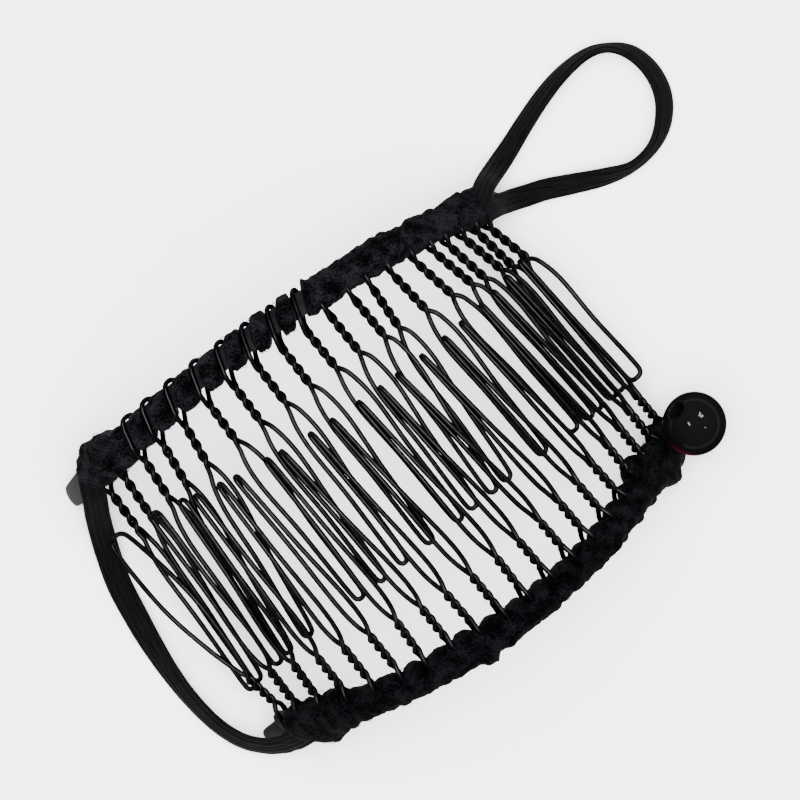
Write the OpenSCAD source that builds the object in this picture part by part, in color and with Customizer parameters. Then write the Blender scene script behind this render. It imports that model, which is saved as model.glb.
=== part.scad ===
// Banana hair clip: two arched wire combs, their teeth laid one over the other, joined by elastic
// Frame: X runs along the combs, Y goes across from the lower comb to the upper comb, Z is up

/* [Arch] */
// Radius that each comb's strip is bent to
arch_r = 38; // [37.5:0.1:38.5]

/* [Strip] */
// Width of the flat strip
strip_w = 3.2; // [2.8:0.1:3.4]
// Thickness of the flat strip
strip_t = 0.8; // [0.5:0.1:1]

/* [Teeth] */
// Diameter of the wire that each tooth is bent from
wire_d = 0.72; // [0.6:0.02:0.76]
// Widest diameter of the twisted neck
neck_d = 1.46; // [1.2:0.02:1.5]
// Number of swellings along the twisted neck
neck_lobes = 4; // [3:1:5]
// Half of the widest gap between an upper tooth's legs
upper_leg_gap = 1.4; // [1.2:0.05:1.45]
// Half of the widest gap between a lower tooth's legs
lower_leg_gap = 0.8; // [0.7:0.05:0.9]
// Height by which the lower comb's teeth pass over the upper comb's
layer_gap = 3.2; // [3.1:0.1:3.6]

/* [Wrap] */
// Half of the yarn wrap's thickness
wrap_t = 2; // [1.9:0.05:2.1]
// Half of the wrap's width where it is narrow
wrap_narrow = 2.4; // [2.35:0.05:2.5]
// Half of the wrap's width where it is wide
wrap_wide = 2.7; // [2.6:0.05:2.8]

/* [Elastic] */
// Width of the loop's flat elastic
loop_w = 3.1; // [2.8:0.1:3.2]
// Width of the link's flat elastic
link_w = 3.5; // [3.2:0.1:3.6]
// Thickness of the flat elastic
elastic_t = 1; // [0.8:0.1:1.1]

/* [Bead] */
// Diameter of the bead
bead_d = 8.6; // [8.2:0.1:8.8]
// Diameter of the bead's bore
bore_d = 2.4; // [2:0.1:2.6]

/* [Hidden] */
TEETH = 20;

function two_digits(k) = str(k < 10 ? "0" : "", k);
function tooth_name(comb, k) = str(comb, "_tooth_", two_digits(k + 1));

// The object is drawn about the middle of its own plan
PLAN_MID = [3.4, -1.55];

// Columns of a comb: middle of its chord, turn about Z, outward tilt, angle of the chord's ends,
// height of the chord above the surface
MID = 0;
TURN = 1;
TILT = 2;
END = 3;
LIFT_UP = 4;
UPPER = [[-1.2, 20.4], 1.6, 9.4, 68, 1.6];
LOWER = [[2.4, -19.1], 182, 23.4, 63.5, 2.43];

// Each strip's end angles, seen from its own comb, where the lower comb is turned half round
UPPER_STRIP = [-67.4, 68];
LOWER_STRIP = [-65, 58.6];

wire_r = wire_d / 2;
joint_r = wire_r * 1.08;
fork_r = wire_r * 1.6;
eye_r = strip_t / 2 + wire_r + 0.22;
eye_skew = 0.5;
eye_top = strip_w / 2 + 0.8;
neck_from = 3;
// Slant of the upper comb's open eyes, along the strip for each millimetre across it
eye_slant = 0.35;
slot_half = asin((eye_skew + wire_r + 0.14) / arch_r);

function spin_x(a, p) = [p.x, p.y * cos(a) - p.z * sin(a), p.y * sin(a) + p.z * cos(a)];
function spin_y(a, p) = [p.x * cos(a) + p.z * sin(a), p.y, p.z * cos(a) - p.x * sin(a)];
function spin_z(a, p) = [p.x * cos(a) - p.y * sin(a), p.x * sin(a) + p.y * cos(a), p.z];
function unit(v) = v / norm(v);
function flat(p) = [p.x, p.y];
function mix(a, b, t) = a + (b - a) * t;

// A point p given along, across and out from the strip's middle at an angle of the arch
function on_strip(comb, angle, p) =
    [comb[MID].x, comb[MID].y, comb[LIFT_UP]]
    + spin_z(comb[TURN], spin_x(-comb[TILT],
        [0, 0, -arch_r * cos(comb[END])] + spin_y(angle, p + [0, 0, arch_r])));

// Height of a comb's arch over a place x of the plan
function arch_height(comb, x) =
    let (across = pow(arch_r, 2) - pow(x - comb[MID].x, 2))
    comb[LIFT_UP] + cos(comb[TILT]) * max(0, sqrt(max(0, across)) - arch_r * cos(comb[END]));

// Height of the bed that the teeth lie over, ruled from one strip to the other
BED_FROM = -27;
BED_TO = 24;
function bed(x, y) = mix(arch_height(LOWER, x), arch_height(UPPER, x), (y - BED_FROM) / (BED_TO - BED_FROM));

// Rules for the teeth, where k counts from the left end
function upper_angle(k) = -54.1 + 7.35 * k - 0.08 * k * k + UPPER_BENT[k][SHIFT];
function upper_reach(k) = 10.3 - 0.09 * k + 0.002 * k * k;
function upper_tip_y(k) = -15.9 + 0.5 * k - 0.007 * k * k;
function lower_angle(k) = -55 + 6.49 * k - 0.017 * k * k + LOWER_BENT[k][SHIFT];
function lower_reach(k) = 7.6 + 0.2 * k - 0.012 * k * k;
function lower_tip_y(k) = k == 0 ? 11.7 : 12.2 - 0.73 * k + 0.041 * k * k;

// Columns of each tooth's own bends: shift round the arch, lean toward +X,
// distance along X from fork to tip, lift over its neighbours, share of the usual gap
SHIFT = 0;
LEAN = 1;
TIP_DX = 2;
LIFT = 3;
WIDE = 4;
UPPER_BENT = [
    [0.2, 2.7, 1.2, -0.4, 0.8], [-0.5, 1.3, 0.1, -0.6, 0.85], [0, 0, 0.3, 0, 1], [-0.7, -1.4, -0.8, 0, 0.9],
    [-0.6, -1.8, -1.1, 0, 1], [-0.3, 2.8, 2.6, 0, 1], [-0.2, 3, 2.2, 0, 0.9], [-0.2, 3.8, 1.7, 0, 0.9],
    [-0.1, 3.6, 2.1, 0, 0.9], [0, 4.6, 2.9, 0.4, 0.9], [0, 4.4, 1.6, 0, 1], [0.5, 4.9, 1, 0, 1],
    [-0.3, 1, 1.2, -0.7, 1], [-0.2, 7.5, 2.9, 0, 1], [0.8, 10.7, 4.1, 0, 1.1], [1.1, 12, 3.8, 0.6, 1],
    [0.5, 10.7, 3.5, 0, 1], [0.7, 12.4, 3.5, 0, 1], [0.9, 9.5, 3.4, -0.5, 1], [1.1, 12.7, 3.9, 0, 1.4]
];
LOWER_BENT = [
    [0.1, -9.2, -4.8, 0, 4], [-1, -3.2, -1.6, 0, 1.6], [-1, -2, -0.6, 0, 1.4], [-0.5, -3.9, -1.9, 0, 1.2],
    [-0.3, -3.7, -2, 0, 1.1], [0, -4.3, -3.5, 0, 1.1], [-0.3, -2.2, -2.8, 0, 1.1], [-0.1, -4.5, -4.4, 0, 1],
    [-0.2, -5.8, -3.6, 0, 1], [-0.2, -5, -4.4, 0, 1], [-0.4, -3.6, -4.2, 0, 1], [-0.3, -5.8, -4.4, 0, 0.9],
    [-0.3, -5.6, -5.3, 0, 0.9], [-0.5, -5.3, -4.8, 0, 0.9], [-0.4, -5.8, -4.4, 0, 1], [-0.4, -6.5, -4.5, 0, 0.9],
    [-0.7, -4.1, -4, 0, 0.9], [-0.4, -4.8, -4.4, 0, 1], [-0.3, -4.8, -4.1, 0, 1], [0, -5, -3.4, 0, 1]
];

// Columns of a leg's stations: share of the way from fork to tip, share of the widest gap
ALONG = 0;
SPREAD = 1;
UPPER_STATIONS = [[0.05, 0.42], [0.12, 0.78], [0.24, 1], [0.55, 0.88], [0.97, 0.5]];
LOWER_STATIONS = [[0.05, 0.5], [0.12, 0.88], [0.22, 1], [0.55, 0.8], [0.975, 0.5]];
// The first lower tooth is sprung open, so its legs part slowly and stay wide
OPEN_STATIONS = [[0.05, 0.16], [0.12, 0.34], [0.25, 0.6], [0.55, 1.1], [0.95, 0.5]];

// Rise of the teeth over the bed at fork, middle and tip
UPPER_RISE = [2, 2.6, 1.4];
LOWER_RISE = UPPER_RISE + [2.6, 3.6, 3.8] * layer_gap / 3.2;
// How far a leg follows the slope of the bed beside its tooth's middle line
SLOPE_SHARE = 0.4;
// Turn of the lower teeth's legs about their length, from fork to tip
LOWER_ROLL = 62;
// How far the legs sway toward +X after the fork
UPPER_SWAY = 0.22;
LOWER_SWAY = 0.12;
function rise_at(rise, t) =
    rise[0] * (1 - t) * (1 - 2 * t) + rise[1] * 4 * t * (1 - t) + rise[2] * t * (2 * t - 1);

module rod(a, b, r) {
    d = b - a;
    translate(a)
        rotate([0, acos(d.z / norm(d)), atan2(d.y, d.x)])
            cylinder(h = norm(d), r = r, $fn = 24);
}

// Stands its children at a bend, with Z along the length that leaves it and X away from the other
module at_bend(before, at, after) {
    u = unit(before - at);
    z = unit(after - at);
    x = unit(z * (u * z) - u);
    y = cross(z, x);
    multmatrix([[x.x, y.x, z.x, at.x], [x.y, y.y, z.y, at.y], [x.z, y.z, z.z, at.z], [0, 0, 0, 1]])
        children();
}

// A bend's ball and the straight wire that leaves it
module wire_step(before, at, after, ball_r) {
    ahead = norm(after - at);
    at_bend(before, at, after) {
        sphere(r = ball_r, $fn = 24);
        cylinder(h = ahead - min(0.35 * wire_r, ahead * 0.3), r = wire_r, $fn = 24);
    }
}

// A closed run of wire, with a bigger ball where the neck meets it
module closed_wire(points) {
    n = len(points);
    for (i = [0:n - 1])
        wire_step(points[(i + n - 1) % n], points[i], points[(i + 1) % n], i == 0 ? fork_r : joint_r);
}

// The pair of wires twisted about each other, drawn as its swellings
module neck(a, b) {
    d = b - a;
    waist = wire_d * 0.6;
    step = norm(d) / neck_lobes;
    outline = [for (i = [0:neck_lobes - 1], s = [[0, waist], [0.22, neck_d * 0.44], [0.5, neck_d / 2], [0.78, neck_d * 0.44]])
        [s[1], (i + s[0]) * step]];
    translate(a)
        rotate([0, acos(d.z / norm(d)), atan2(d.y, d.x)])
            rotate_extrude($fn = 24)
                polygon(concat([[0, 0]], outline, [[waist, norm(d)], [0, norm(d)]]));
}

// The eye that hooks a tooth round the strip, from over it to under it
EYE_FROM = -strip_w / 2 - 0.6;
function eye_points(comb, angle, slant) = [for (p = [
        [0, -neck_from, 0],
        [-eye_skew / 2, EYE_FROM, eye_r],
        [-eye_skew, strip_w / 2 + 0.1, eye_r],
        [0.8 * slant, eye_top, 0],
        [eye_skew, strip_w / 2 + 0.1, -eye_r],
        [eye_skew / 2, EYE_FROM, -eye_r]
    ]) on_strip(comb, angle, p + [slant * (p.y + neck_from), 0, 0])];

function fork_point(start, lean, reach, inward, rise) =
    let (x = start.x + reach * sin(lean), y = start.y + inward * reach * cos(lean))
    [x, y, bed(x, y) + rise[0]];

// A place of a leg: t of the way from fork to tip, and half the gap to its side of the middle line
function leg_point(fork, tip, t, half_gap, roll, rise, sway) =
    let (
        way = unit(tip - flat(fork)),
        side = way.y > 0 ? [way.y, -way.x] : [-way.y, way.x],
        mid = mix(flat(fork), tip, t) + side * sway * (1 - t),
        beside = mid + side * half_gap * cos(roll * t),
        z_mid = bed(mid.x, mid.y),
        z = z_mid + SLOPE_SHARE * (bed(beside.x, beside.y) - z_mid)
    )
    [beside.x, beside.y, z + rise_at(rise, t) + half_gap * sin(roll * t)];

// The two legs and the round tip that joins them, as one closed run of wire
function leg_points(fork, tip, gap, stations, roll, rise, sway) =
    let (
        last = len(stations) - 1,
        tip_gap = gap[1],
        gap_at = [for (s = stations) mix(gap[0], gap[1], max(0, (s[ALONG] - 0.24) / 0.73)) * (s[ALONG] > 0.9 ? 1 : s[SPREAD])],
        end = stations[last][ALONG],
        reach = norm(tip - flat(fork)),
        turn_end = 1 - end
    )
    concat(
        [fork],
        [for (i = [0:last]) leg_point(fork, tip, stations[i][ALONG], gap_at[i], roll, rise, sway)],
        [for (a = [35, 65, 115, 145]) leg_point(fork, tip, end + turn_end * sin(a), tip_gap * cos(a), roll, rise, 0)],
        [for (i = [last:-1:0]) leg_point(fork, tip, stations[i][ALONG], -gap_at[i], roll, rise, sway)]
    );

module tooth(comb, angle, slant, bent, reach, inward, tip_y, gap, stations, roll, rise_over, sway) {
    middle = on_strip(comb, angle, [0, 0, 0]);
    rise = [for (r = rise_over) r + bent[LIFT]];
    fork = fork_point(middle, bent[LEAN], reach, inward, rise);
    eye = eye_points(comb, angle, slant);
    closed_wire(eye);
    neck(eye[0], fork);
    closed_wire(leg_points(fork, [fork.x + bent[TIP_DX], tip_y], gap * bent[WIDE], stations,
        roll / bent[WIDE], rise, sway));
}

// The gap looks narrower where the comb's end is steep
function seen_gap(gap, angle) = gap * (0.35 + 0.65 * cos(angle));

// Teeth whose eyes are open to view, counted from 0
OPEN_EYES = [2, 9];
function upper_slant(k) = k >= OPEN_EYES[0] && k <= OPEN_EYES[1] ? eye_slant : 0;

module upper_tooth(k) {
    color("#1c1c1f")
        tooth(UPPER, upper_angle(k), upper_slant(k), UPPER_BENT[k], upper_reach(k), -1, upper_tip_y(k),
            [seen_gap(upper_leg_gap, upper_angle(k)), 0.72],
            UPPER_STATIONS, 0, UPPER_RISE, UPPER_SWAY);
}

module lower_tooth(k) {
    color("#1c1c1f")
        tooth(LOWER, -lower_angle(k), 0, LOWER_BENT[k], lower_reach(k), 1, lower_tip_y(k),
            [seen_gap(lower_leg_gap, lower_angle(k)), k == 0 ? 0.34 : 0.5],
            k == 0 ? OPEN_STATIONS : LOWER_STATIONS, LOWER_ROLL, LOWER_RISE, LOWER_SWAY);
}

// Sweeps a flat outline, drawn out from and across the strip, along a stretch of the arch
module along_arch(comb, from, to) {
    translate([comb[MID].x, comb[MID].y, comb[LIFT_UP]])
        rotate([0, 0, comb[TURN]])
            rotate([-comb[TILT], 0, 0])
                translate([0, 0, -arch_r * cos(comb[END])])
                    rotate([90, 0, 0])
                        rotate_extrude(angle = to - from, start = 90 - to, $fn = 96)
                            translate([arch_r, 0]) children();
}

module strip_end(comb, angle) {
    thick = strip_t - 0.12;
    on_arch(comb, angle, [0, 0, -thick / 2]) cylinder(h = thick, d = strip_w - 0.1, $fn = 48);
}

module strip(comb, ends) {
    color("#3a3a3e") {
        along_arch(comb, ends[0], ends[1]) square([strip_t, strip_w], center = true);
        for (a = ends) strip_end(comb, a);
    }
}

// Stands its children on a strip, X along it, Y across it and Z out from it
module on_arch(comb, angle, p) {
    translate(on_strip(comb, angle, p))
        rotate([0, 0, comb[TURN]])
            rotate([-comb[TILT], 0, 0])
                rotate([0, angle, 0])
                    children();
}

// The tab at the lower strip's left end, bent outward in the strip's own plane
module lower_tab() {
    thick = strip_t - 0.2;
    from = [-1, 0.2];
    to = [1.1, 1.6];
    way = to - from;
    color("#3a3a3e")
        on_arch(LOWER, LOWER_STRIP[1] + 1.6, [0, 0, -thick / 2]) {
            for (p = [from, to]) translate(p) cylinder(h = thick, d = strip_w - 0.1, $fn = 48);
            translate(from)
                rotate([0, 0, atan2(way.y, way.x)])
                    translate([0, -strip_w / 2 + 0.1, 0]) cube([norm(way), strip_w - 0.2, thick]);
        }
}

// An eight-sided outline of the yarn's section, out from and across the strip
module eight_sides(out, across) {
    cut = min(out, across) * 0.5;
    polygon([
        [out, across - cut], [out - cut, across], [cut - out, across], [-out, across - cut],
        [-out, cut - across], [cut - out, -across], [out - cut, -across], [out, cut - across]
    ]);
}

// Yarn wound round the strip, clear of it, and set in toward the teeth by inset
module winding(comb, from, to, out, across, inset) {
    along_arch(comb, from, to)
        difference() {
            translate([0, -inset]) eight_sides(out, across);
            square([strip_t + 0.3, strip_w + 0.3], center = true);
        }
}

// Yarn that passes over or under the teeth's eyes from one bundle to the next
eye_clear = eye_r + wire_r + 0.08;
module crossing_yarn(comb, from, to, side, out, across) {
    depth = out - 0.06 - eye_clear;
    along_arch(comb, from, to)
        translate([side * (eye_clear + depth / 2), 0])
            square([depth, across * 2], center = true);
}

// The slanted room that an eye needs between two bundles
slot_w = 2 * (eye_skew + wire_r + 0.14);
module slot(comb, angle, slant) {
    long = 4 * wrap_wide;
    on_arch(comb, angle, [slant * neck_from, 0, 0])
        rotate([0, 0, -atan(slant)])
            cube([slot_w * cos(atan(slant)), long, long], center = true);
}

// Columns of an eye that bounds a bundle: its angle, its slant
EYE_ANGLE = 0;
EYE_SLANT = 1;
// Angle that lies in the middle of an eye's slot
function slot_middle(eye) = eye[EYE_ANGLE] + asin(eye[EYE_SLANT] * neck_from / arch_r);

// Bundles of yarn between the eyes, their half widths and insets given one by one, with yarn across
// the backs, and across the fronts over the stretch named cover
module wrap(comb, eyes, ends, out, widths, insets, cover, cover_w) {
    last = len(eyes);
    color("#121214") {
        difference() {
            for (i = [0:last])
                winding(comb,
                    i == 0 ? ends[0] : slot_middle(eyes[i - 1]) + 0.2,
                    i == last ? ends[1] : slot_middle(eyes[i]) - 0.2,
                    out, widths[i], insets[i]);
            for (eye = eyes) slot(comb, eye[EYE_ANGLE], eye[EYE_SLANT]);
        }
        crossing_yarn(comb, ends[0] + 0.2, ends[1] - 0.2, -1, out, 1.1);
        crossing_yarn(comb, cover[0] + 0.2, cover[1] - 0.2, 1, out, cover_w);
    }
}

// The eyes of a run of teeth, in their own comb's sense
function upper_eyes(from, to) = [for (k = [from:to]) [upper_angle(k), upper_slant(k)]];
function lower_eyes(from, to) = [for (k = [from:-1:to]) [-lower_angle(k), 0]];

// Teeth, counted from 0, whose eyes bound the knots
UPPER_LEFT = 1;
LOWER_LEFT = 3;
LOWER_RIGHT = 16;
// Where the yarn stops at the outer ends
UPPER_FROM = -57.2;
UPPER_TO = 60.4;

module upper_strip() strip(UPPER, UPPER_STRIP);
module lower_strip() {
    strip(LOWER, LOWER_STRIP);
    lower_tab();
}

module upper_wrap() {
    eyes = upper_eyes(UPPER_LEFT + 1, TEETH - 1);
    widths = [for (i = [0:len(eyes)]) i < 15 ? wrap_narrow : wrap_wide];
    // The open bundles sit toward the teeth, the covered ones about the strip's middle
    insets = [for (i = [0:len(eyes)]) i < 8 ? 0.35 : -0.05];
    wrap(UPPER, eyes, [upper_angle(UPPER_LEFT) + slot_half, UPPER_TO], wrap_t, widths, insets,
        [upper_angle(10) - slot_half - 1, UPPER_TO], 1.6);
}

module lower_wrap() {
    eyes = lower_eyes(LOWER_RIGHT - 1, LOWER_LEFT + 1);
    ends = [-lower_angle(LOWER_RIGHT) + slot_half, -lower_angle(LOWER_LEFT) - slot_half];
    widths = [for (i = [0:len(eyes)]) mix(wrap_narrow, wrap_wide, i / len(eyes))];
    insets = [for (i = [0:len(eyes)]) mix(0.35, 0.1, i / len(eyes))];
    wrap(LOWER, eyes, ends, wrap_t, widths, insets, ends, 1.6);
}

module upper_left_knot() {
    ends = [UPPER_FROM, upper_angle(UPPER_LEFT) - slot_half];
    wrap(UPPER, upper_eyes(0, UPPER_LEFT - 1), ends, 2.6, [3.2, 3.4], [0.4, 0.1], ends, 2.7);
}

module lower_left_knot() {
    ends = [-lower_angle(LOWER_LEFT) + slot_half, -lower_angle(0) - slot_half];
    wrap(LOWER, lower_eyes(LOWER_LEFT - 1, 1), ends, 2.3, [3.3, 3.4, 3.1], [0.1, -0.5, -0.5], ends, 2.2);
}

module lower_right_knot() {
    ends = [-lower_angle(TEETH - 1) + slot_half, -lower_angle(LOWER_RIGHT) - slot_half];
    wrap(LOWER, lower_eyes(TEETH - 2, LOWER_RIGHT + 1), ends, 2.1, [2.2, 3.6, 2.8], [0.2, 0, 0.6], ends, 1.7);
}

BEAD_AT = [39.9, -18.4, 9.4];
BORE_WAY = unit([-1.2, 3, 2.8]);
BEAD_CORD = [
    [37.2, -20.6, 1.9],
    [39.4, -21.6, 1.2],
    BEAD_AT - BORE_WAY * (bead_d / 2 + 0.9),
    BEAD_AT + BORE_WAY * bead_d * 0.3
];
bead_cord_d = 1.3;

// The cord that ties the bead to the comb's end, from the knot and up into the bore
module bead_cord() {
    color("#151517") {
        for (i = [0:len(BEAD_CORD) - 2]) rod(BEAD_CORD[i], BEAD_CORD[i + 1], bead_cord_d / 2);
        for (i = [1:len(BEAD_CORD) - 2])
            at_bend(BEAD_CORD[i - 1], BEAD_CORD[i], BEAD_CORD[i + 1])
                sphere(r = bead_cord_d * 0.54, $fn = 24);
        translate(BEAD_CORD[3]) sphere(r = bore_d / 2 - 0.15, $fn = 32);
    }
}

module bead() {
    color("#0c0909")
        difference() {
            translate(BEAD_AT) sphere(d = bead_d, $fn = 96);
            rod(BEAD_AT - BORE_WAY * bead_d, BEAD_AT + BORE_WAY * bead_d, bore_d / 2);
        }
}

// Routes of the flat elastic, chosen by hand: x, y, z and the band's turn about its own length
LOOP_ROUTE = [
    [33.9, 24.5, 7.3, 12], [35.2, 25.1, 4.8, 12], [36.9, 25.8, 2.5, 16], [39.4, 26.9, 1.3, 30], [43, 28.6, 1.4, 40],
    [47, 30.3, 1.6, 46], [51, 31.5, 1.8, 55], [55, 31.9, 1.9, 66], [58, 31, 2, 71],
    [60.3, 28.7, 1.8, 54], [61.3, 25.2, 1.6, 45], [60.8, 21.5, 1.5, 42], [58.8, 18.4, 1.6, 48],
    [55.8, 16.3, 1.8, 65], [52, 15.6, 1.8, 68], [48, 16.5, 1.5, 46], [44, 18, 1.3, 30],
    [40.4, 19.4, 1.1, 16], [37.8, 20.1, 1.2, 8], [36, 20.6, 2.3, 0], [34.7, 20.9, 4.3, 0], [33.8, 21.1, 6.2, 0]
];
LINK_ROUTE = [
    [-34.2, 17.4, 8.2, 0], [-35.1, 15.4, 6, 0], [-36, 12.9, 3.2, 0], [-36.9, 9.9, 1.2, 0],
    [-37.8, 6, 0.7, 0], [-38.2, 2, 0.9, -10], [-38.5, -3, 1.3, -32], [-38.5, -8, 1.6, -48],
    [-38.1, -12.6, 1.8, -56], [-37.1, -17.3, 2, -60], [-35.4, -21, 2.6, -60], [-33.1, -23.4, 3.6, -58],
    [-31.1, -24.5, 4.8, -50], [-30, -24.8, 5.6, -44]
];

// Four-point curve through the route's points
function curve(p, t) =
    0.5 * (2 * p[1] + (p[2] - p[0]) * t + (2 * p[0] - 5 * p[1] + 4 * p[2] - p[3]) * t * t
        + (3 * p[1] - p[0] - 3 * p[2] + p[3]) * t * t * t);
function neighbours(route, i) =
    let (n = len(route) - 1) [for (j = [i - 1, i, i + 1, i + 2]) route[max(0, min(n, j))]];
function fine_route(route) = concat(
    [for (i = [0:len(route) - 2], t = [0, 0.34, 0.67]) curve(neighbours(route, i), t)],
    [route[len(route) - 1]]
);
function place(row) = [row[0], row[1], row[2]];

module band(route, wide) {
    rows = fine_route(route);
    n = len(rows);
    w = wide / 2;
    h = elastic_t / 2;
    outline = [[w, -h / 2], [w, h / 2], [w * 0.8, h], [-w * 0.8, h], [-w, h / 2], [-w, -h / 2], [-w * 0.8, -h], [w * 0.8, -h]];
    sides = len(outline);
    rings = [for (i = [0:n - 1])
        let (
            way = unit(place(rows[min(n - 1, i + 1)]) - place(rows[max(0, i - 1)])),
            across = unit(cross(way, [0, 0, 1])),
            up = cross(across, way),
            a = rows[i][3]
        )
        for (s = outline)
            place(rows[i]) + across * (s.x * cos(a) - s.y * sin(a)) + up * (s.x * sin(a) + s.y * cos(a))];
    walls = [for (i = [0:n - 2], j = [0:sides - 1])
        let (a = i * sides + j, b = i * sides + (j + 1) % sides)
        each [[a, b, b + sides], [a, b + sides, a + sides]]];
    caps = [[for (j = [sides - 1:-1:0]) j], [for (j = [0:sides - 1]) (n - 1) * sides + j]];
    color("#161618") polyhedron(points = rings, faces = concat(walls, caps));
}

module elastic_loop() band(LOOP_ROUTE, loop_w);
module elastic_link() band(LINK_ROUTE, link_w);

module in_place() {
    translate([-PLAN_MID.x, -PLAN_MID.y, 0]) children();
}

in_place() upper_strip();
in_place() lower_strip();
in_place() upper_wrap();
in_place() lower_wrap();
in_place() upper_left_knot();
in_place() lower_left_knot();
in_place() lower_right_knot();
in_place() bead();
in_place() bead_cord();
in_place() elastic_loop();
in_place() elastic_link();
for (k = [0:TEETH - 1]) {
    in_place() upper_tooth(k);
    in_place() lower_tooth(k);
}
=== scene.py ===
"""A banana hair clip: two arched wire combs bound with yarn, an elastic loop and a bead.

Sizes are millimetres about the middle of the clip's plan, and a piece turns to metres
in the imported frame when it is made.
"""
import logging
import random
from dataclasses import dataclass, field
from enum import Enum
from functools import cache
from math import asin, atan2, ceil, copysign, cos, degrees, exp, hypot, pi, radians, sin, sqrt, tan
from typing import Iterable, Sequence

import bmesh
import bpy
from bmesh.types import BMEdge, BMesh, BMVert
from bpy.types import Material, Mesh, Node, NodeSocket, Object
from mathutils import Matrix, Vector, noise


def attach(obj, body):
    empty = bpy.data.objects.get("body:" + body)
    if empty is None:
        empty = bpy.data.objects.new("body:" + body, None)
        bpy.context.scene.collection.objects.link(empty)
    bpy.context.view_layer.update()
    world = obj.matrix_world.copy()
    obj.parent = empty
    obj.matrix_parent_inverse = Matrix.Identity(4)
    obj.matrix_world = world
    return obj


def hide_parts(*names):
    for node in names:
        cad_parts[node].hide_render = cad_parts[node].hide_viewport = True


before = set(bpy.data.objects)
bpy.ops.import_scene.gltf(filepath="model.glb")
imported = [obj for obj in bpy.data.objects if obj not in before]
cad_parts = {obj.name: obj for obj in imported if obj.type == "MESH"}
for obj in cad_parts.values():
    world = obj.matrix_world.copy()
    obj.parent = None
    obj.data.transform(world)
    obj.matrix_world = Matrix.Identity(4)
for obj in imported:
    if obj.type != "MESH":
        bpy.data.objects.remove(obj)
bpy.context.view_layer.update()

log = logging.getLogger("hair clip")

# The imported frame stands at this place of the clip's plan
FRAME_AT = (3.4, -1.55, 0.0)
TO_FRAME = Matrix.Scale(0.001, 4) @ Matrix.Translation([-x for x in FRAME_AT])
TEETH = 20
WIRE_R = 0.36
ARCH_R = 38.0
MM_PER_DEGREE = 0.663  # round the arch
STRIP_W = 3.2
STRIP_T = 0.8
NECK_FROM = 3.0
# The upper comb's teeth whose eyes lie open and slant along the strip, in mm for each mm across
OPEN_EYES = range(2, 10)
OPEN_SLANT = 0.35
# Points closer than this are one, and edges bent by more than this are sharp
WELD_MM = 0.0005
SHARP = 0.9


class Slot(Enum):
    """The clip's material slots."""

    WIRE = "wire"
    STRIP = "strip"
    YARN = "yarn"
    ELASTIC = "elastic"
    BEAD = "bead"


# Finishes


class Recipe:
    """A material whose nodes are added one at a time."""

    def __init__(self, name: str) -> None:
        """Starts the material.

        Args:
            name: The material's name.
        """
        self.material = bpy.data.materials.new(name)
        self.material.use_nodes = True
        self.tree = self.material.node_tree
        self.shader = self.tree.nodes["Principled BSDF"]

    def add(self, kind: str, inputs: dict, **settings: object) -> Node:
        """Adds a node.

        Args:
            kind: The shader node's kind, without its prefix.
            inputs: A value or another node's output for each input.
            settings: The node's own properties.

        Returns:
            The new node.
        """
        made = self.tree.nodes.new("ShaderNode" + kind)
        for key, value in settings.items():
            setattr(made, key, value)
        self.feed(made, inputs)
        return made

    def feed(self, node: Node, inputs: dict) -> None:
        """Sets or links a node's inputs.

        Args:
            node: The node.
            inputs: A value or another node's output for each input.
        """
        for key, value in inputs.items():
            socket = node.inputs[key]
            if isinstance(value, NodeSocket):
                self.tree.links.new(value, socket)
            else:
                socket.default_value = value

    def places(self, source: str = "Object") -> NodeSocket:
        """Returns the piece's own coordinates, Object or UV."""
        return self.add("TexCoord", {}).outputs[source]

    def grain(self, where: NodeSocket, scale: float, detail: float = 2.0) -> NodeSocket:
        """Adds a noise.

        Args:
            where: Coordinates that the noise follows.
            scale: Its scale.
            detail: Its detail.

        Returns:
            The noise's value.
        """
        return self.add("TexNoise", {"Vector": where, "Scale": scale, "Detail": detail}).outputs["Fac"]

    def between(self, fac: NodeSocket, stops: Sequence[tuple[float, tuple]]) -> NodeSocket:
        """Adds a colour ramp.

        Args:
            fac: The value that the ramp reads.
            stops: Positions and colours along it.

        Returns:
            The ramp's colour.
        """
        ramp = self.add("ValToRGB", {"Fac": fac})
        elements = ramp.color_ramp.elements
        while len(elements) < len(stops):
            elements.new(0.5)
        for element, (at, colour) in zip(elements, stops):
            element.position = at
            element.color = (*colour, 1.0)
        return ramp.outputs["Color"]

    def span(self, fac: NodeSocket, low: float, high: float) -> NodeSocket:
        """Returns a 0 to 1 value stretched from low to high."""
        return self.add("MapRange", {"Value": fac, "To Min": low, "To Max": high}).outputs["Result"]

    def bump(self, height: NodeSocket, strength: float, depth: float,
             under: NodeSocket | None = None) -> NodeSocket:
        """Adds a bump.

        Args:
            height: The height that it reads.
            strength: Its strength.
            depth: Its depth in metres.
            under: Another bump's normal that it goes over.

        Returns:
            The bump's normal.
        """
        inputs = {"Height": height, "Strength": strength, "Distance": depth}
        if under is not None:
            inputs["Normal"] = under
        return self.add("Bump", inputs).outputs["Normal"]


@dataclass(frozen=True)
class Finish:
    """A finish, whose material is mixed once."""

    name: str

    def inputs(self, mix: Recipe) -> dict:
        """Adds the finish's nodes and returns the shader's inputs, in each finish's own way."""
        raise NotImplementedError

    @cache
    def material(self) -> Material:
        """Mixes the material, once for each finish.

        Returns:
            The material.
        """
        mix = Recipe(self.name)
        mix.feed(mix.shader, self.inputs(mix))
        return mix.material


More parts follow.
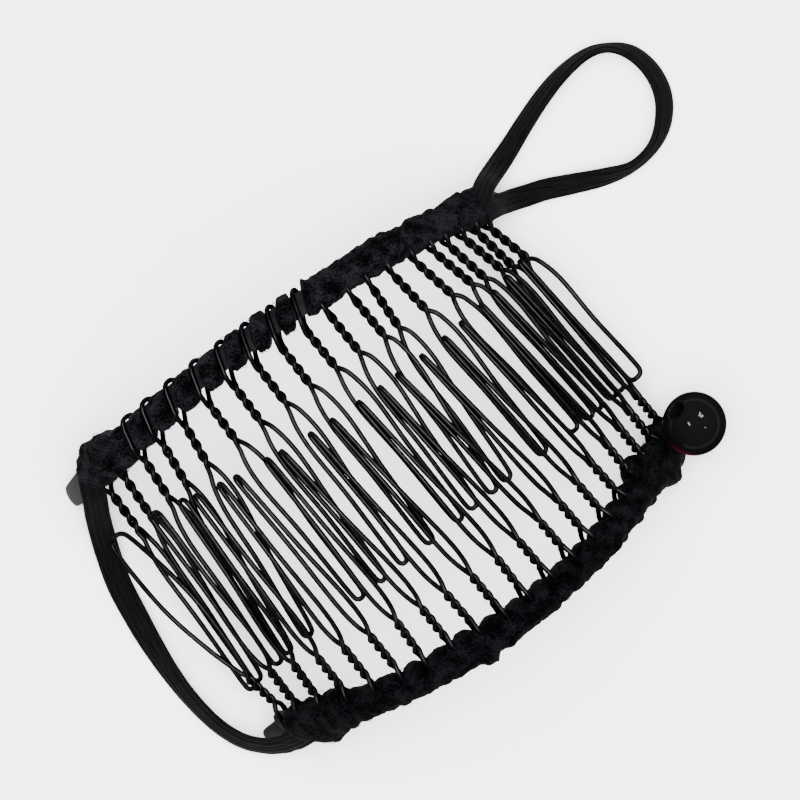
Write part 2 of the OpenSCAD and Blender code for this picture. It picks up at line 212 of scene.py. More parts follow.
@dataclass(frozen=True)
class EnamelledWire(Finish):
    """Satin black enamel over steel wire, bright where it faces up and black at its edges."""

    name: str = "black enamelled wire"
    dark: tuple = (0.008, 0.008, 0.009)
    light: tuple = (0.017, 0.017, 0.018)
    rough: tuple = (0.24, 0.34)

    def inputs(self, mix: Recipe) -> dict:
        """Adds the finish's nodes.

        Args:
            mix: The material that they go in.

        Returns:
            The shader's inputs.
        """
        where = mix.places()
        cloud = mix.grain(where, 900.0, 3.0)
        speck = mix.grain(where, 5200.0, 1.0)
        return {
            "Base Color": mix.between(cloud, [(0.3, self.dark), (0.75, self.light)]),
            "Metallic": 1.0,
            "Roughness": mix.span(cloud, *self.rough),
            "Specular Tint": (0.0, 0.0, 0.0, 1.0),
            "Normal": mix.bump(speck, 0.12, 0.00004),
        }


@dataclass(frozen=True)
class PaintedStrip(Finish):
    """Dark grey paint on the flat steel strip, brushed along it and worn in spots."""

    name: str = "grey painted strip"
    dark: tuple = (0.0025, 0.0025, 0.003)
    light: tuple = (0.0055, 0.0055, 0.006)

    def inputs(self, mix: Recipe) -> dict:
        """Adds the finish's nodes.

        Args:
            mix: The material that they go in.

        Returns:
            The shader's inputs.
        """
        where = mix.places()
        cloud = mix.grain(where, 700.0, 4.0)
        brushed = mix.add("Mapping", {"Vector": where, "Scale": (300.0, 5200.0, 300.0)}).outputs["Vector"]
        lines = mix.grain(brushed, 1.0)
        return {
            "Base Color": mix.between(cloud, [(0.3, self.dark), (0.7, self.light)]),
            "Roughness": mix.span(lines, 0.45, 0.6),
            "Specular IOR Level": 0.03,
            "Normal": mix.bump(lines, 0.15, 0.00003),
        }


@dataclass(frozen=True)
class WoundYarn(Finish):
    """Fine black crinkled yarn, matte, with a faint blue-grey nap."""

    name: str = "black wound yarn"
    dark: tuple = (0.0001, 0.0001, 0.0002)
    light: tuple = (0.0056, 0.0057, 0.0074)
    loop_mm: float = 0.32

    def inputs(self, mix: Recipe) -> dict:
        """Adds the finish's nodes.

        Args:
            mix: The material that they go in.

        Returns:
            The shader's inputs.
        """
        where = mix.places()
        loops = mix.add("TexVoronoi", {"Vector": where, "Scale": 1000.0 / self.loop_mm}).outputs["Distance"]
        fine = mix.grain(where, 6000.0, 3.0)
        patch = mix.grain(where, 500.0)
        shade = mix.add("Math", {0: loops, 1: fine, 2: patch}, operation="MULTIPLY_ADD").outputs[0]
        first = mix.bump(loops, 1.0, 0.0002)
        return {
            "Base Color": mix.between(shade, [(0.5, self.light), (0.86, self.dark)]),
            "Roughness": mix.span(fine, 0.8, 1.0),
            "Specular IOR Level": 0.03,
            "Normal": mix.bump(fine, 0.6, 0.00008, first),
        }


@dataclass(frozen=True)
class BraidedElastic(Finish):
    """Black flat elastic with smooth lengthwise ribs of fine stitches."""

    name: str = "black braided elastic"
    dark: tuple = (0.0001, 0.0001, 0.0001)
    light: tuple = (0.0026, 0.0026, 0.0032)
    stitch_mm: float = 0.36

    def inputs(self, mix: Recipe) -> dict:
        """Adds the finish's nodes.

        Args:
            mix: The material that they go in.

        Returns:
            The shader's inputs.
        """
        along = mix.places("UV")
        stitch = mix.add("TexWave", {"Vector": along, "Scale": 0.31 / self.stitch_mm, "Distortion": 0.6},
                         wave_type="BANDS", bands_direction="X").outputs["Fac"]
        long = mix.add("Mapping", {"Vector": along, "Scale": (0.35, 6.0, 1.0)}).outputs["Vector"]
        fibre = mix.grain(long, 1.0)
        fine = mix.grain(mix.places(), 5200.0, 3.0)
        shade = mix.add("Math", {0: stitch, 1: 0.12, 2: fibre}, operation="MULTIPLY_ADD").outputs[0]
        first = mix.bump(stitch, 0.2, 0.00005)
        return {
            "Base Color": mix.between(shade, [(0.35, self.dark), (0.75, self.light)]),
            "Roughness": mix.span(fine, 0.7, 0.95),
            "Specular IOR Level": 0.05,
            "Normal": mix.bump(fine, 0.35, 0.00005, first),
        }


@dataclass(frozen=True)
class PolishedBead(Finish):
    """Near-black polished glass, with the dark red glow of light coming through it painted on its lower
    side.
    """

    name: str = "black glass bead"
    body: tuple = (0.005, 0.005, 0.005)
    # edge: the painted glow, the dark red that light coming through the glass shows, put on the side that
    # toward points to
    edge: tuple = (0.045, 0.0015, 0.008)
    middle: tuple = (36.5, -16.85, 9.4)
    toward: tuple = (-170.0, -118.0, -70.0)
    painted_glow_from: float = 0.62

    def inputs(self, mix: Recipe) -> dict:
        """Adds the finish's nodes.

        Args:
            mix: The material that they go in.

        Returns:
            The shader's inputs.
        """
        where = mix.places()
        centre = tuple(-x / 1000 for x in self.middle)
        local = mix.add("Mapping", {"Vector": where, "Location": centre}).outputs["Vector"]
        glow_side = mix.add("VectorMath", {0: local, 1: self.toward}, operation="DOT_PRODUCT").outputs["Value"]
        cloud = mix.grain(where, 600.0)
        # Toward that side the bead turns from polished metal to diffuse dark red: a painted glow of light
        # through the glass
        glass = mix.between(glow_side, [(self.painted_glow_from, (0.7, 0.7, 0.7)), (0.9, (0.0, 0.0, 0.0))])
        return {
            "Base Color": mix.between(glow_side, [(self.painted_glow_from, self.body), (0.95, self.edge)]),
            "Metallic": glass,
            "Roughness": mix.span(cloud, 0.04, 0.09),
            "Specular IOR Level": 0.0,
            "Specular Tint": (0.3, 0.3, 0.3, 1.0),
            "Normal": mix.bump(cloud, 0.02, 0.00003),
        }


@dataclass(frozen=True)
class PaleFloor(Finish):
    """The plain white floor of the studio."""

    name: str = "pale floor"

    def inputs(self, mix: Recipe) -> dict:
        """Adds the finish's nodes.

        Args:
            mix: The material that they go in.

        Returns:
            The shader's inputs.
        """
        cloud = mix.grain(mix.places(), 3.0, 1.0)
        return {
            "Base Color": mix.between(cloud, [(0.0, (0.92, 0.92, 0.92)), (1.0, (0.94, 0.94, 0.94))]),
            "Roughness": 0.9,
            "Specular IOR Level": 0.1,
        }


# Making pieces


def into_scene(name: str, data: bpy.types.ID) -> Object:
    """Puts some data in the scene.

    Args:
        name: The new object's name.
        data: Its data.

    Returns:
        The new object.
    """
    made = bpy.data.objects.new(name, data)
    bpy.context.scene.collection.objects.link(made)
    return made


def add_piece(name: str, mesh: Mesh, finish: Finish,
              nodes: Iterable[str] = ()) -> Object:
    """Puts a finished mesh in the scene as a piece of the clip.

    Args:
        name: The piece's name.
        mesh: Its mesh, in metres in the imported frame.
        finish: The finish that it wears.
        nodes: CAD nodes that it stands for.

    Returns:
        The new object.
    """
    mesh.materials.clear()
    mesh.materials.append(finish.material())
    for face in mesh.polygons:
        face.use_smooth = True
    piece = into_scene(name, mesh)
    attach(piece, "root")
    if nodes:
        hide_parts(*nodes)
    log.info("%s: %d faces", name, len(mesh.polygons))
    return piece


def mesh_from(bm: BMesh, name: str, place: Matrix = Matrix()) -> Mesh:
    """Closes a bmesh and turns it into a mesh in metres.

    Args:
        bm: The shape, in millimetres.
        name: The mesh's name.
        place: Where the shape stands in the clip's plan.

    Returns:
        The mesh.
    """
    bmesh.ops.remove_doubles(bm, verts=bm.verts, dist=WELD_MM)
    bmesh.ops.recalc_face_normals(bm, faces=bm.faces)
    bmesh.ops.transform(bm, matrix=TO_FRAME @ place, verts=bm.verts)
    mesh = bpy.data.meshes.new(name)
    bm.to_mesh(mesh)
    bm.free()
    return mesh


def spun(bm: BMesh, geom: list, angle: float, steps: int, **other: object) -> dict:
    """Spins points or edges without joining them, about the arch's axis unless told otherwise.

    Args:
        bm: The shape that they are in.
        geom: The points and edges.
        angle: How far they go, in degrees.
        steps: The number of steps.
        other: Another centre or axis, or use_merge.

    Returns:
        What the operator returns.
    """
    usual = {"cent": (0, 0, 0), "axis": (0, 1, 0), "use_merge": False, "use_duplicate": False}
    return bmesh.ops.spin(bm, geom=geom, angle=radians(angle), steps=steps, **(usual | other))


def spun_section(bm: BMesh, places: Sequence[Vector], angle: float, steps: int) -> None:
    """Spins a closed section round the arch and leaves its ends open.

    Args:
        bm: The shape that it goes in.
        places: The section's corners.
        angle: How far it goes, in degrees.
        steps: The number of steps.
    """
    verts = [bm.verts.new(p) for p in places]
    edges = [bm.edges.new((a, b)) for a, b in zip(verts, [*verts[1:], verts[0]])]
    spun(bm, [*verts, *edges], angle, steps)


def edges_of(verts: Iterable[BMVert]) -> list[BMEdge]:
    """Returns the edges that touch some points, each once and in order."""
    return list(dict.fromkeys(e for v in verts for e in v.link_edges))


def joined_to(verts: Iterable[BMVert]) -> list[BMVert]:
    """Finds all that edges join to some points.

    Args:
        verts: The points.

    Returns:
        The points and what they are joined to.
    """
    found = dict.fromkeys(verts)
    todo = list(found)
    while todo:
        at = todo.pop()
        fresh = [v for v in (e.other_vert(at) for e in at.link_edges) if v not in found]
        found |= dict.fromkeys(fresh)
        todo += fresh
    return list(found)


def sharp(edges: Iterable[BMEdge]) -> list[BMEdge]:
    """Returns those of some edges that two faces meet sharply at."""
    return [e for e in edges if e.is_manifold and e.calc_face_angle(0.0) > SHARP]


def cap(bm: BMesh) -> None:
    """Closes every open end of a shape with a face."""
    bmesh.ops.holes_fill(bm, edges=[e for e in bm.edges if e.is_boundary], sides=0)


def wire_mesh(name: str, runs: Sequence[Sequence[Vector]], radius: float, closed: bool,
              sides: int = 3) -> Mesh:
    """Draws round wire along runs of points.

    Args:
        name: The mesh's name.
        runs: The points of each wire, in millimetres in the clip's plan.
        radius: The wire's radius.
        closed: Whether each run ends where it starts.
        sides: The resolution of the wire's roundness.

    Returns:
        The mesh in metres.
    """
    curve = bpy.data.curves.new(name, "CURVE")
    curve.dimensions = "3D"
    curve.bevel_depth = radius / 1000
    curve.bevel_resolution = sides
    curve.use_fill_caps = not closed
    for run in runs:
        spline = curve.splines.new("POLY")
        spline.points.add(len(run) - 1)
        for point, place in zip(spline.points, run):
            point.co = (*(TO_FRAME @ Vector(place)), 1.0)
        spline.use_cyclic_u = closed
    holder = into_scene(name, curve)
    bpy.context.view_layer.update()
    mesh = bpy.data.meshes.new_from_object(holder)
    mesh.name = name
    bpy.data.objects.remove(holder)
    bpy.data.curves.remove(curve)
    return mesh


def through(points: Sequence[Vector], step: float) -> list[Vector]:
    """Runs a smooth curve through points.

    Args:
        points: The points, closer together where the curve bends more.
        step: The greatest distance between two points of the curve.

    Returns:
        The curve's points.
    """
    last = len(points) - 1
    line = []
    for i in range(last):
        a, b, c, d = (Vector(points[max(0, min(last, i + j))]) for j in (-1, 0, 1, 2))
        knots = [0.0]
        for p, q in ((a, b), (b, c), (c, d)):
            knots.append(knots[-1] + max(1e-4, (q - p).length) ** 0.5)
        cuts = max(1, ceil((c - b).length / step))
        for j in range(cuts):
            line.append(knotted(a, b, c, d, knots, knots[1] + (knots[2] - knots[1]) * j / cuts))
    line.append(Vector(points[-1]))
    return line


def knotted(a: Vector, b: Vector, c: Vector, d: Vector, k: Sequence[float], t: float) -> Vector:
    """Finds a place of a centripetal curve.

    Args:
        a: The first point that the curve goes through.
        b: The second, where the place's own stretch starts.
        c: The third, where that stretch stops.
        d: The fourth.
        k: The four points' knots.
        t: The place's knot.

    Returns:
        The place.
    """

    def mix(p: Vector, q: Vector, lo: float, hi: float) -> Vector:
        """Returns the place t between p, at lo, and q, at hi."""
        return p + (q - p) * ((t - lo) / (hi - lo))

    ab, bc, cd = mix(a, b, k[0], k[1]), mix(b, c, k[1], k[2]), mix(c, d, k[2], k[3])
    return mix(mix(ab, bc, k[0], k[2]), mix(bc, cd, k[1], k[3]), k[1], k[2])


def lumps(at: Vector, size: float, seed: float) -> float:
    """Returns smooth noise from -1 to 1 with lumps of a size in millimetres."""
    return noise.noise(at / size + Vector((seed, seed * 1.7, -seed)))


# The combs' arches


@dataclass(frozen=True)
class CombArch:
    """The arch that a comb's strip is bent to."""

    mid: tuple[float, float]
    turn: float
    tilt: float
    end: float
    lift: float
    radius: float = ARCH_R

    @property
    def stand(self) -> Matrix:
        """Places the arch by its centre of curvature, its turn and its tilt.

        Returns:
            Where it stands in the clip's plan.
        """
        return (
            Matrix.Translation((*self.mid, self.lift))
            @ Matrix.Rotation(radians(self.turn), 4, "Z")
            @ Matrix.Rotation(radians(-self.tilt), 4, "X")
            @ Matrix.Translation((0, 0, -self.radius * cos(radians(self.end))))
        )

    def local(self, angle: float, along: float, across: float, out: float) -> Vector:
        """Returns a place by the strip in the arch's own space."""
        return Matrix.Rotation(radians(angle), 3, "Y") @ Vector((along, across, out + self.radius))

    def at(self, angle: float, along: float = 0.0, across: float = 0.0, out: float = 0.0) -> Vector:
        """Returns a place by the strip in the clip's plan."""
        return self.stand @ self.local(angle, along, across, out)

    def height(self, x: float) -> float:
        """Works out the arch's height.

        Args:
            x: The place along the plan.

        Returns:
            The height there.
        """
        across = max(0.0, self.radius ** 2 - (x - self.mid[0]) ** 2)
        chord = self.radius * cos(radians(self.end))
        return self.lift + cos(radians(self.tilt)) * max(0.0, sqrt(across) - chord)


UPPER = CombArch((-1.2, 20.4), 1.6, 9.4, 68.0, 1.6)
LOWER = CombArch((2.4, -19.1), 182.0, 23.4, 63.5, 2.43)


# The bed is ruled from the lower strip to the upper one, between these places across the plan
BED_FROM = -27.0
BED_TO = 24.0


def bed(x: float, y: float) -> float:
    """Returns the height of the bed that the teeth lie over."""
    share = (y - BED_FROM) / (BED_TO - BED_FROM)
    return LOWER.height(x) * (1 - share) + UPPER.height(x) * share


# Teeth


@dataclass(frozen=True)
class ToothBend:
    """One tooth's own bends: shift round the arch, lean, run of the tip, share of the gap and lift."""

    shift: float
    lean: float
    tip_dx: float
    wide: float = 1.0
    lift: float = 0.0


UPPER_BENDS = [ToothBend(*row) for row in (
    (0.2, 2.7, 1.2, 0.8, -0.4), (-0.5, 1.3, 0.1, 0.85, -0.6), (0, 0, 0.3), (-0.7, -1.4, -0.8, 0.9),
    (-0.6, -1.8, -1.1), (-0.3, 2.8, 2.6), (-0.2, 3, 2.2, 0.9), (-0.2, 3.8, 1.7, 0.9), (-0.1, 3.6, 2.1, 0.9),
    (0, 4.6, 2.9, 0.9, 0.4), (0, 4.4, 1.6), (0.5, 4.9, 1), (-0.3, 1, 1.2, 1, -0.7), (-0.2, 7.5, 2.9),
    (0.8, 10.7, 4.1, 1.1), (1.1, 12, 3.8, 1, 0.6), (0.5, 10.7, 3.5), (0.7, 12.4, 3.5),
    (0.9, 9.5, 3.4, 1, -0.5), (1.1, 12.7, 3.9, 1.4),
)]
LOWER_BENDS = [ToothBend(*row) for row in (
    (0.1, -9.2, -4.8, 4), (-1, -3.2, -1.6, 1.6), (-1, -2, -0.6, 1.4), (-0.5, -3.9, -1.9, 1.2),
    (-0.3, -3.7, -2, 1.1), (0, -4.3, -3.5, 1.1), (-0.3, -2.2, -2.8, 1.1), (-0.1, -4.5, -4.4),
    (-0.2, -5.8, -3.6), (-0.2, -5, -4.4), (-0.4, -3.6, -4.2), (-0.3, -5.8, -4.4, 0.9),
    (-0.3, -5.6, -5.3, 0.9), (-0.5, -5.3, -4.8, 0.9), (-0.4, -5.8, -4.4), (-0.4, -6.5, -4.5, 0.9),
    (-0.7, -4.1, -4, 0.9), (-0.4, -4.8, -4.4), (-0.3, -4.8, -4.1), (0, -5, -3.4),
)]


# Shares of the way from fork to tip, between which a tooth's gap goes from widest to the tip's
GAP_FROM = 0.24
GAP_TO = 0.97


def ruled(rule: tuple[float, float, float], k: int) -> float:
    """Returns a tooth's measure from its comb's rule, a constant, a slope and a bend."""
    a, b, c = rule
    return a + b * k + c * k * k


@dataclass
class Comb:
    """One comb's teeth, each a closed run of wire: an eye, a twisted neck and two legs.

    The rules give the angle, reach and tip of tooth k, counted from the clip's left end. The
    stations are shares of the way from fork to tip, each with its share of the widest gap.
    """

    title: str
    arch: CombArch
    toward: int
    bends: list[ToothBend]
    angles: tuple[float, float, float]
    reaches: tuple[float, float, float]
    tips: tuple[float, float, float]
    rises: tuple[float, float, float]
    widest: float
    tip_gap: float
    roll: float
    sway: float
    stations: list[tuple[float, float]]
    first_stations: list[tuple[float, float]] = field(default_factory=list)
    first_tip_gap: float = 0.0
    first_tip_y: float = 0.0
    slanted: range = range(0)
    part: float = 0.25
    end_gap: float = 0.35
    finish: EnamelledWire = field(default_factory=EnamelledWire)
    lobes: int = 4
    twist_r: float = 0.36

    def seen_angle(self, k: int) -> float:
        """Returns the angle of a tooth that counts from the clip's left end."""
        return ruled(self.angles, k) + self.bends[k].shift

    def eye_angle(self, k: int) -> float:
        """Returns a tooth's angle in the comb's own sense."""
        return self.seen_angle(k) * (1 if self.toward < 0 else -1)

    def slant(self, k: int) -> float:
        """Returns how far a tooth's eye slants along the strip for each millimetre across."""
        return OPEN_SLANT if k in self.slanted else 0.0

    def fork(self, k: int) -> Vector:
        """Finds where a tooth's neck parts into its legs.

        Args:
            k: The tooth.

        Returns:
            The place in the clip's plan.
        """
        start = self.arch.at(self.eye_angle(k))
        reach, lean = ruled(self.reaches, k), radians(self.bends[k].lean)
        x = start.x + reach * sin(lean)
        y = start.y + self.toward * reach * cos(lean)
        return Vector((x, y, bed(x, y) + self.rises[0] + self.bends[k].lift))

    def tip(self, k: int) -> Vector:
        """Returns a tooth's tip in plan."""
        y = self.first_tip_y if k == 0 and self.first_stations else ruled(self.tips, k)
        return Vector((self.fork(k).x + self.bends[k].tip_dx, y))

    def leg_at(self, k: int, t: float, half_gap: float, sway: float) -> Vector:
        """Returns a place of a leg.

        Args:
            k: The tooth.
            t: The share of the way from fork to tip.
            half_gap: The distance to the right of the tooth's middle line.
            sway: How far the middle line bows to the right after the fork.

        Returns:
            The place in the clip's plan.
        """
        fork, tip = self.fork(k), self.tip(k)
        way = (tip - fork.xy).normalized()
        side = Vector((way.y, -way.x)) if way.y > 0 else Vector((-way.y, way.x))
        mid = fork.xy.lerp(tip, t) + side * sway * (1 - t)
        roll = radians(self.roll / self.bends[k].wide * t)
        beside = mid + side * half_gap * cos(roll)
        z = bed(*mid) + 0.4 * (bed(*beside) - bed(*mid))
        a, b, c = (r + self.bends[k].lift for r in self.rises)
        rise = a * (1 - t) * (1 - 2 * t) + b * 4 * t * (1 - t) + c * t * (2 * t - 1)
        return Vector((*beside, z + rise + half_gap * sin(roll)))

    def leg(self, k: int, side: int) -> list[Vector]:
        """Draws a leg from fork to tip.

        Args:
            k: The tooth.
            side: 1 for the right leg and -1 for the left one.

        Returns:
            Its places in the clip's plan.
        """
        first = k == 0 and self.first_stations
        stations = self.first_stations if first else self.stations
        share = self.bends[k].wide
        narrow = (self.first_tip_gap if first else self.tip_gap) * share
        arched = cos(radians(self.seen_angle(k)))
        wide = self.widest * (self.end_gap + (1 - self.end_gap) * arched) * share
        places = []
        for t, spread in stations:
            gap = wide + (narrow - wide) * max(0.0, (t - GAP_FROM) / (GAP_TO - GAP_FROM))
            places.append(self.leg_at(k, t, side * gap * (1 if t > 0.9 else spread), self.sway))
        end = stations[-1][0]
        for a in (35, 65):
            t = end + (1 - end) * sin(radians(a))
            places.append(self.leg_at(k, t, side * narrow * cos(radians(a)), 0.0))
        return places

    def strand(self, k: int, phase: float) -> list[Vector]:
        """Returns one strand of a tooth's neck, from the eye to the fork.

        Args:
            k: The tooth.
            phase: 0 for the strand that comes from the front of the eye, 180 for the other.

        Returns:
            Its places in the clip's plan.
        """
        angle = self.eye_angle(k)
        start = self.arch.at(angle, 0, -NECK_FROM, 0)
        way = self.fork(k) - start
        axis = way.normalized()
        rise = self.arch.at(angle, 0, -NECK_FROM, 1) - start
        up = (rise - axis * rise.dot(axis)).normalized()
        side = axis.cross(up)
        places = []
        cuts = self.lobes * 7
        for i in range(1, cuts + 1):
            s = 0.06 + 0.94 * i / cuts
            turn = radians(180 + (s - 0.5 / self.lobes) * 180 * self.lobes + phase)
            swell = self.twist_r * min(1.0, 0.75 + s)
            places.append(start + way * s + (side * -cos(turn) + up * sin(turn)) * swell)
        return places

    def eye(self, k: int) -> list[Vector]:
        """Draws a tooth's eye, from over the strip to under it.

        Args:
            k: The tooth.

        Returns:
            Its places in the clip's plan.
        """
        slant, part = self.slant(k), self.part
        over = [(-part, -2.3, 0.9), (-part - 0.1, -1.0, 1.0), (-0.5, 0.9, 1.02), (-0.4, 1.75, 0.84)]
        rows = [*over, (0.0, 2.1, 0.0), *[(-x, y, -z) for x, y, z in reversed(over)]]
        return [self.arch.at(self.eye_angle(k), x + slant * (y + NECK_FROM), y, z) for x, y, z in rows]

    def run(self, k: int) -> list[Vector]:
        """Draws a tooth's whole closed run of wire.

        Args:
            k: The tooth.

        Returns:
            Its places in the clip's plan.
        """
        front, back = self.strand(k, 0.0), self.strand(k, 180.0)
        first = -1 if self.toward < 0 else 1
        head = through([front[1], front[0], *self.eye(k), back[0], back[1]], 0.35)[1:-1]
        down = [*back, *self.leg(k, -first)]
        up = [*front, *self.leg(k, first)]
        legs = through([*down[len(back) - 2:], *reversed(up[len(front) - 2:])], 0.45)
        return [*head, *back[1:-2], *legs, *reversed(front[1:-2])]

    def build(self) -> None:
        """Builds every tooth in place of its CAD node."""
        for k in range(TEETH):
            name = f"{self.title}-tooth-{k + 1:02d}-wire"
            node = f"{self.title}_tooth_{k + 1:02d}"
            mesh = wire_mesh(name, [self.run(k)], WIRE_R, closed=True)
            add_piece(name, mesh, self.finish, [node])


UPPER_COMB = Comb(
    "upper", UPPER, toward=-1, bends=UPPER_BENDS, angles=(-54.1, 7.35, -0.08),
    reaches=(10.3, -0.09, 0.002), tips=(-15.9, 0.5, -0.007), rises=(2.0, 2.6, 1.4),
    widest=1.4, tip_gap=0.72, roll=0.0, sway=0.22,
    stations=[(0.05, 0.42), (0.12, 0.78), (0.24, 1.0), (0.55, 0.88), (0.97, 0.5)],
    slanted=OPEN_EYES,
)
LOWER_COMB = Comb(
    "lower", LOWER, toward=1, bends=LOWER_BENDS, angles=(-55.0, 6.49, -0.017),
    reaches=(7.6, 0.2, -0.012), tips=(12.2, -0.73, 0.041), rises=(4.6, 6.2, 5.2),
    widest=0.8, tip_gap=0.5, roll=62.0, sway=0.12,
    stations=[(0.05, 0.5), (0.12, 0.88), (0.22, 1.0), (0.55, 0.8), (0.975, 0.5)],
    first_stations=[(0.05, 0.16), (0.12, 0.34), (0.25, 0.6), (0.55, 1.1), (0.95, 0.5)],
    first_tip_gap=0.34, first_tip_y=11.7, part=0.3,
)


# Strips


@dataclass
class FlatStrip:
    """A comb's flat strip, spun round the arch with round ends."""

    title: str
    arch: CombArch
    ends: tuple[float, float]
    tab: tuple[Vector, Vector] | None = None
    tab_angle: float = 0.0
    finish: PaintedStrip = field(default_factory=PaintedStrip)

    def mesh(self) -> Mesh:
        """Draws the strip with its round ends and its tab.

        Returns:
            Its mesh in metres.
        """
        bm = bmesh.new()
        start, stop = self.ends
        h, w = STRIP_T / 2, STRIP_W / 2
        corners = ((-w, -h), (w, -h), (w, h), (-w, h))
        spun_section(bm, [self.arch.local(start, 0, y, z) for y, z in corners], stop - start, 96)
        for angle, way in ((start, -1), (stop, 1)):
            self.round_end(bm, angle, way)
        bmesh.ops.bevel(bm, geom=sharp(bm.edges), offset=0.14, segments=3,
                        affect="EDGES", profile=0.5, material=-1)
        if self.tab:
            self.add_tab(bm)
        return mesh_from(bm, self.title, self.arch.stand)

    def add_tab(self, bm: BMesh) -> None:
        """Adds the bent tab at the strip's end, a plate with two round ends in the strip's plane.

        Args:
            bm: The strip.
        """
        start, stop = self.tab
        half, thick = STRIP_W / 2, STRIP_T - 0.2
        way = (stop - start).normalized()
        side = Vector((-way.y, way.x))
        verts = []
        for middle, edge in ((stop, -side), (start, side)):
            first = bm.verts.new((*(middle + edge * half), -thick / 2))
            half_turn = spun(bm, [first], 180.0, 16, cent=(*middle, 0), axis=(0, 0, 1))
            verts += [first, half_turn["geom_last"][0]]
        bm.edges.new((verts[1], verts[2]))
        bm.edges.new((verts[3], verts[0]))
        rim = joined_to(verts)
        face = bmesh.ops.contextual_create(bm, geom=[*rim, *edges_of(rim)])["faces"][0]
        made = bmesh.ops.extrude_face_region(bm, geom=[face], use_keep_orig=True)
        top = [g for g in made["geom"] if isinstance(g, BMVert)]
        bmesh.ops.translate(bm, verts=top, vec=(0, 0, thick))
        rounded = bmesh.ops.bevel(bm, geom=sharp(edges_of(top)), offset=0.12, segments=2,
                                  affect="EDGES", profile=0.5, material=-1)
        rim = dict.fromkeys([*(v for v in [*rim, *top] if v.is_valid), *rounded["verts"]])
        out = Matrix.Translation((0, 0, self.arch.radius))
        place = Matrix.Rotation(radians(self.tab_angle), 4, "Y") @ out
        bmesh.ops.transform(bm, matrix=place, verts=list(rim))

    def round_end(self, bm: BMesh, angle: float, way: int) -> None:
        """Draws the strip's end out to a half round.

        Args:
            bm: The strip.
            angle: The end's angle.
            way: 1 where the end faces the way that angles grow.
        """
        ring = [e for e in bm.edges if e.is_boundary
                and all(abs(self.angle_of(v) - angle) < 0.01 for v in e.verts)]
        turn = Matrix.Rotation(radians(angle), 4, "Y")
        rows = 8
        step_out = 90 / (rows + 0.4)
        for i in range(1, rows + 1):
            made = bmesh.ops.extrude_edge_only(bm, edges=ring)
            fresh = [g for g in made["geom"] if isinstance(g, BMVert)]
            ring = [g for g in made["geom"] if isinstance(g, BMEdge)
                    and all(v in fresh for v in g.verts)]
            out, was = radians(step_out * i), radians(step_out * (i - 1))
            step = STRIP_W / 2 * (sin(out) - sin(was)) * way
            bmesh.ops.translate(bm, verts=fresh, vec=turn @ Vector((step, 0, 0)))
            bmesh.ops.scale(bm, verts=fresh, vec=(1, cos(out) / cos(was), 1))
        bmesh.ops.holes_fill(bm, edges=ring, sides=0)

    @staticmethod
    def angle_of(vert: BMVert) -> float:
        """Returns a point's angle round the arch."""
        return degrees(atan2(vert.co.x, vert.co.z))

    def build(self) -> None:
        """Builds the strip in place of its CAD node."""
        name = self.title.replace("_", "-") + "-flat"
        add_piece(name, self.mesh(), self.finish, [self.title])


# Yarn


def eased(values: Sequence[float], t: float) -> float:
    """Reads evenly spaced values with soft turns.

    Args:
        values: The values.
        t: The share of the way along them.

    Returns:
        The value there.
    """
    place = t * (len(values) - 1)
    i = min(len(values) - 2, int(place))
    share = place - i
    share = share * share * (3 - 2 * share)
    return values[i] + (values[i + 1] - values[i]) * share


@dataclass(frozen=True)
class Bundle:
    """A stretch of wound yarn: angles, half widths toward and away from the teeth, half thickness."""

    start: float
    stop: float
    inner: tuple[float, ...]
    outer: tuple[float, ...]
    deep: float
    turns: float = 1.0
    slants: tuple[float, float] = (0.0, 0.0)
    reach: float = 0.0
    closed_ends: float = 4.0
    rough: float = 0.09
    lumpy: float = 0.12
    fade: float = 1.0


